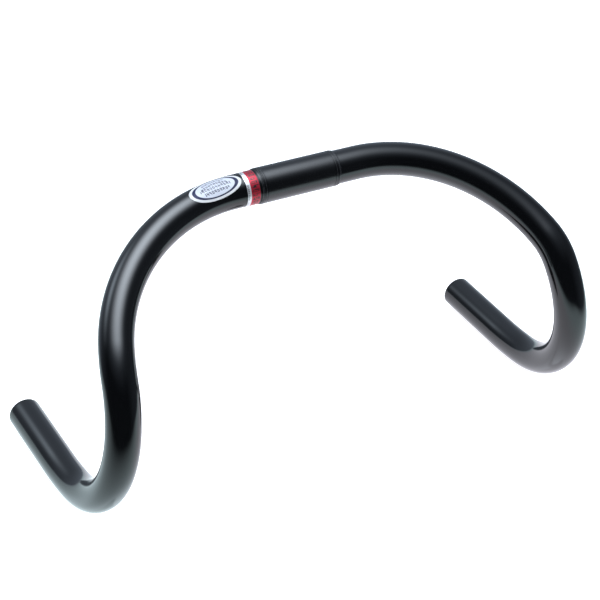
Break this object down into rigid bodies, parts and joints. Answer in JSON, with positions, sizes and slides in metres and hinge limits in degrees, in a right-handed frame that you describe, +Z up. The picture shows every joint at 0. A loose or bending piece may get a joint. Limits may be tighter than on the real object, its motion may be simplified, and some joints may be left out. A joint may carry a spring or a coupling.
{
  "type": "drop handlebar",
  "caption": "Bent tube drop handlebar for a track bicycle, with a straight clamp sleeve, deep round hooks and level open-ended drops.",
  "frame": {"origin": "middle of the clamp sleeve, on the tube's centre line", "axes": "+X along the sleeve, -Y forward in the riding direction, +Z up; the straight drops are level and parallel to Y"},
  "size_m": [0.3944, 0.1694, 0.2049],
  "materials": {
    "gloss_black_paint": "gloss black paint",
    "satin_black_paint": "satin black paint",
    "red_foil": "red and silver printed foil",
    "label_vinyl": "white printed vinyl"
  },
  "bodies": {
    "root": {"bar_tube": "gloss_black_paint", "clamp_sleeve": "satin_black_paint", "foil_band": "red_foil", "oval_label": "label_vinyl"}
  },
  "joints": []
}
